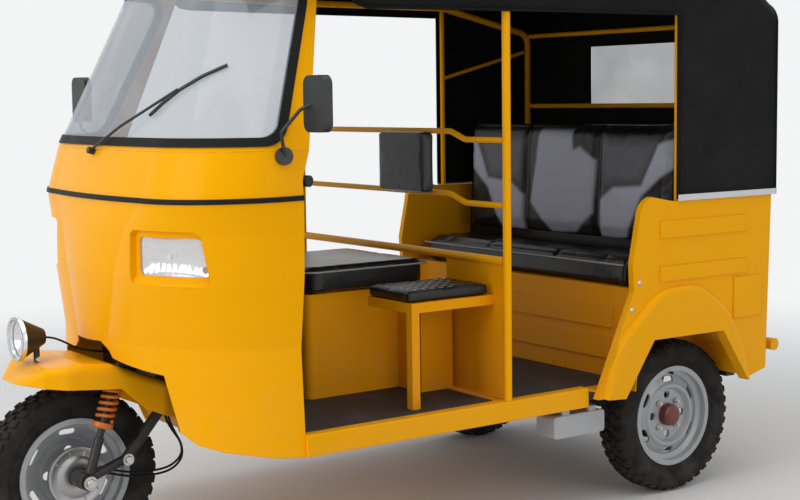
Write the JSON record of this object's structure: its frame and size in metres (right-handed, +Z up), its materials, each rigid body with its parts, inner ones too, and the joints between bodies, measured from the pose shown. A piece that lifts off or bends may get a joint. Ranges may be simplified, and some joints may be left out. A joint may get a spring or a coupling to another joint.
{
  "type": "auto rickshaw",
  "caption": "Three-wheeled passenger vehicle with a rounded metal nose, open doorways, canvas canopy, driver's seat, small extra seat and rear bench.",
  "frame": {"origin": "on the ground, below the middle of the bounding box", "axes": "+Z up, the vehicle faces -Y, +X is its own left side"},
  "size_m": [1.482, 2.639, 1.784],
  "materials": {
    "yellow_paint": "glossy enamel, slightly dulled",
    "black_steel": "satin black enamel",
    "silver_paint": "silver wheel enamel",
    "copper_paint": "orange-brown enamel on the spring",
    "black_canvas": "coated canvas, satin",
    "black_vinyl": "glossy vinyl",
    "grey_vinyl": "glossy grey vinyl with black borders",
    "black_rubber": "matt",
    "tyre_rubber": "matt",
    "black_plastic": "satin",
    "grey_plastic": "matt",
    "lamp_chrome": "bright",
    "lamp_glass": "fluted clear glass",
    "clear_glass": "clear, faint tint",
    "clear_film": "clear flexible window",
    "red_lens": "moulded lens",
    "trim_aluminium": "satin",
    "engine_metal": "sand cast",
    "mirror_glass": "bright"
  },
  "bodies": {
    "body": {"front_cowl": "yellow_paint", "headlamp_reflectors": "lamp_chrome", "headlamp_lenses": "lamp_glass", "windscreen_frame": "yellow_paint", "windscreen_seal": "black_rubber", "windscreen_glass": "clear_glass", "cowl_strip": "black_plastic", "dashboard": "black_plastic", "bulkhead": "yellow_paint", "chassis_frame": "black_steel", "floor_pan": "yellow_paint", "floor_mats": "black_rubber", "side_sills": "yellow_paint", "cabin_frame": "yellow_paint", "partition_bars": "yellow_paint", "partition_panel": "yellow_paint", "driver_seat_base": "yellow_paint", "driver_cushion": "black_vinyl", "driver_backrest": "black_vinyl", "jump_seat_frame": "yellow_paint", "jump_seat_cushion": "black_vinyl", "bench_base": "yellow_paint", "bench_cushion": "grey_vinyl", "bench_backrest": "grey_vinyl", "seat_back_panel": "yellow_paint", "luggage_board": "yellow_paint", "quarter_left": "yellow_paint", "quarter_right": "yellow_paint", "rear_panel": "yellow_paint", "tail_lamps": "red_lens", "canopy": "black_canvas", "rear_window": "clear_film", "canopy_strips": "trim_aluminium", "rear_bumper": "yellow_paint", "engine_block": "engine_metal", "exhaust": "black_steel", "rear_axle_arms": "black_steel", "rear_dampers": "black_steel", "under_floor_box": "grey_plastic", "mirrors": "black_plastic", "mirror_glasses": "mirror_glass", "wiper": "black_plastic", "brake_pedal": "black_steel"},
    "steering": {"front_fork": "black_steel", "front_spring": "copper_paint", "front_fender": "yellow_paint", "fender_lamp": "lamp_chrome", "fender_lamp_lens": "lamp_glass", "handlebar": "black_plastic", "brake_cables": "black_rubber", "lamp_lead": "black_rubber"},
    "front_wheel": {"front_tyre": "tyre_rubber", "front_wheel": "silver_paint"},
    "rear_left_wheel": {"rear_left_tyre": "tyre_rubber", "rear_left_wheel": "silver_paint"},
    "rear_right_wheel": {"rear_right_tyre": "tyre_rubber", "rear_right_wheel": "silver_paint"},
    "rear_lid": {"rear_lid": "yellow_paint"}
  },
  "joints": [
    {"name": "steering_turn", "type": "hinge", "parent": "body", "child": "steering", "pos_m": [0, -0.82837, 0.6], "axis": [0, 0.4384, 0.8988], "range_deg": [-38, 38]},
    {"name": "front_wheel_spin", "type": "hinge", "parent": "steering", "child": "front_wheel", "pos_m": [0, -1.061, 0.256], "axis": [1, 0, 0], "continuous": true},
    {"name": "rear_left_wheel_spin", "type": "hinge", "parent": "body", "child": "rear_left_wheel", "pos_m": [0.51, 0.847, 0.256], "axis": [1, 0, 0], "continuous": true},
    {"name": "rear_right_wheel_spin", "type": "hinge", "parent": "body", "child": "rear_right_wheel", "pos_m": [-0.51, 0.847, 0.256], "axis": [1, 0, 0], "continuous": true},
    {"name": "rear_lid_hinge", "type": "hinge", "parent": "body", "child": "rear_lid", "pos_m": [0, 1.217, 0.924], "axis": [1, 0, 0], "range_deg": [0, 75]}
  ]
}
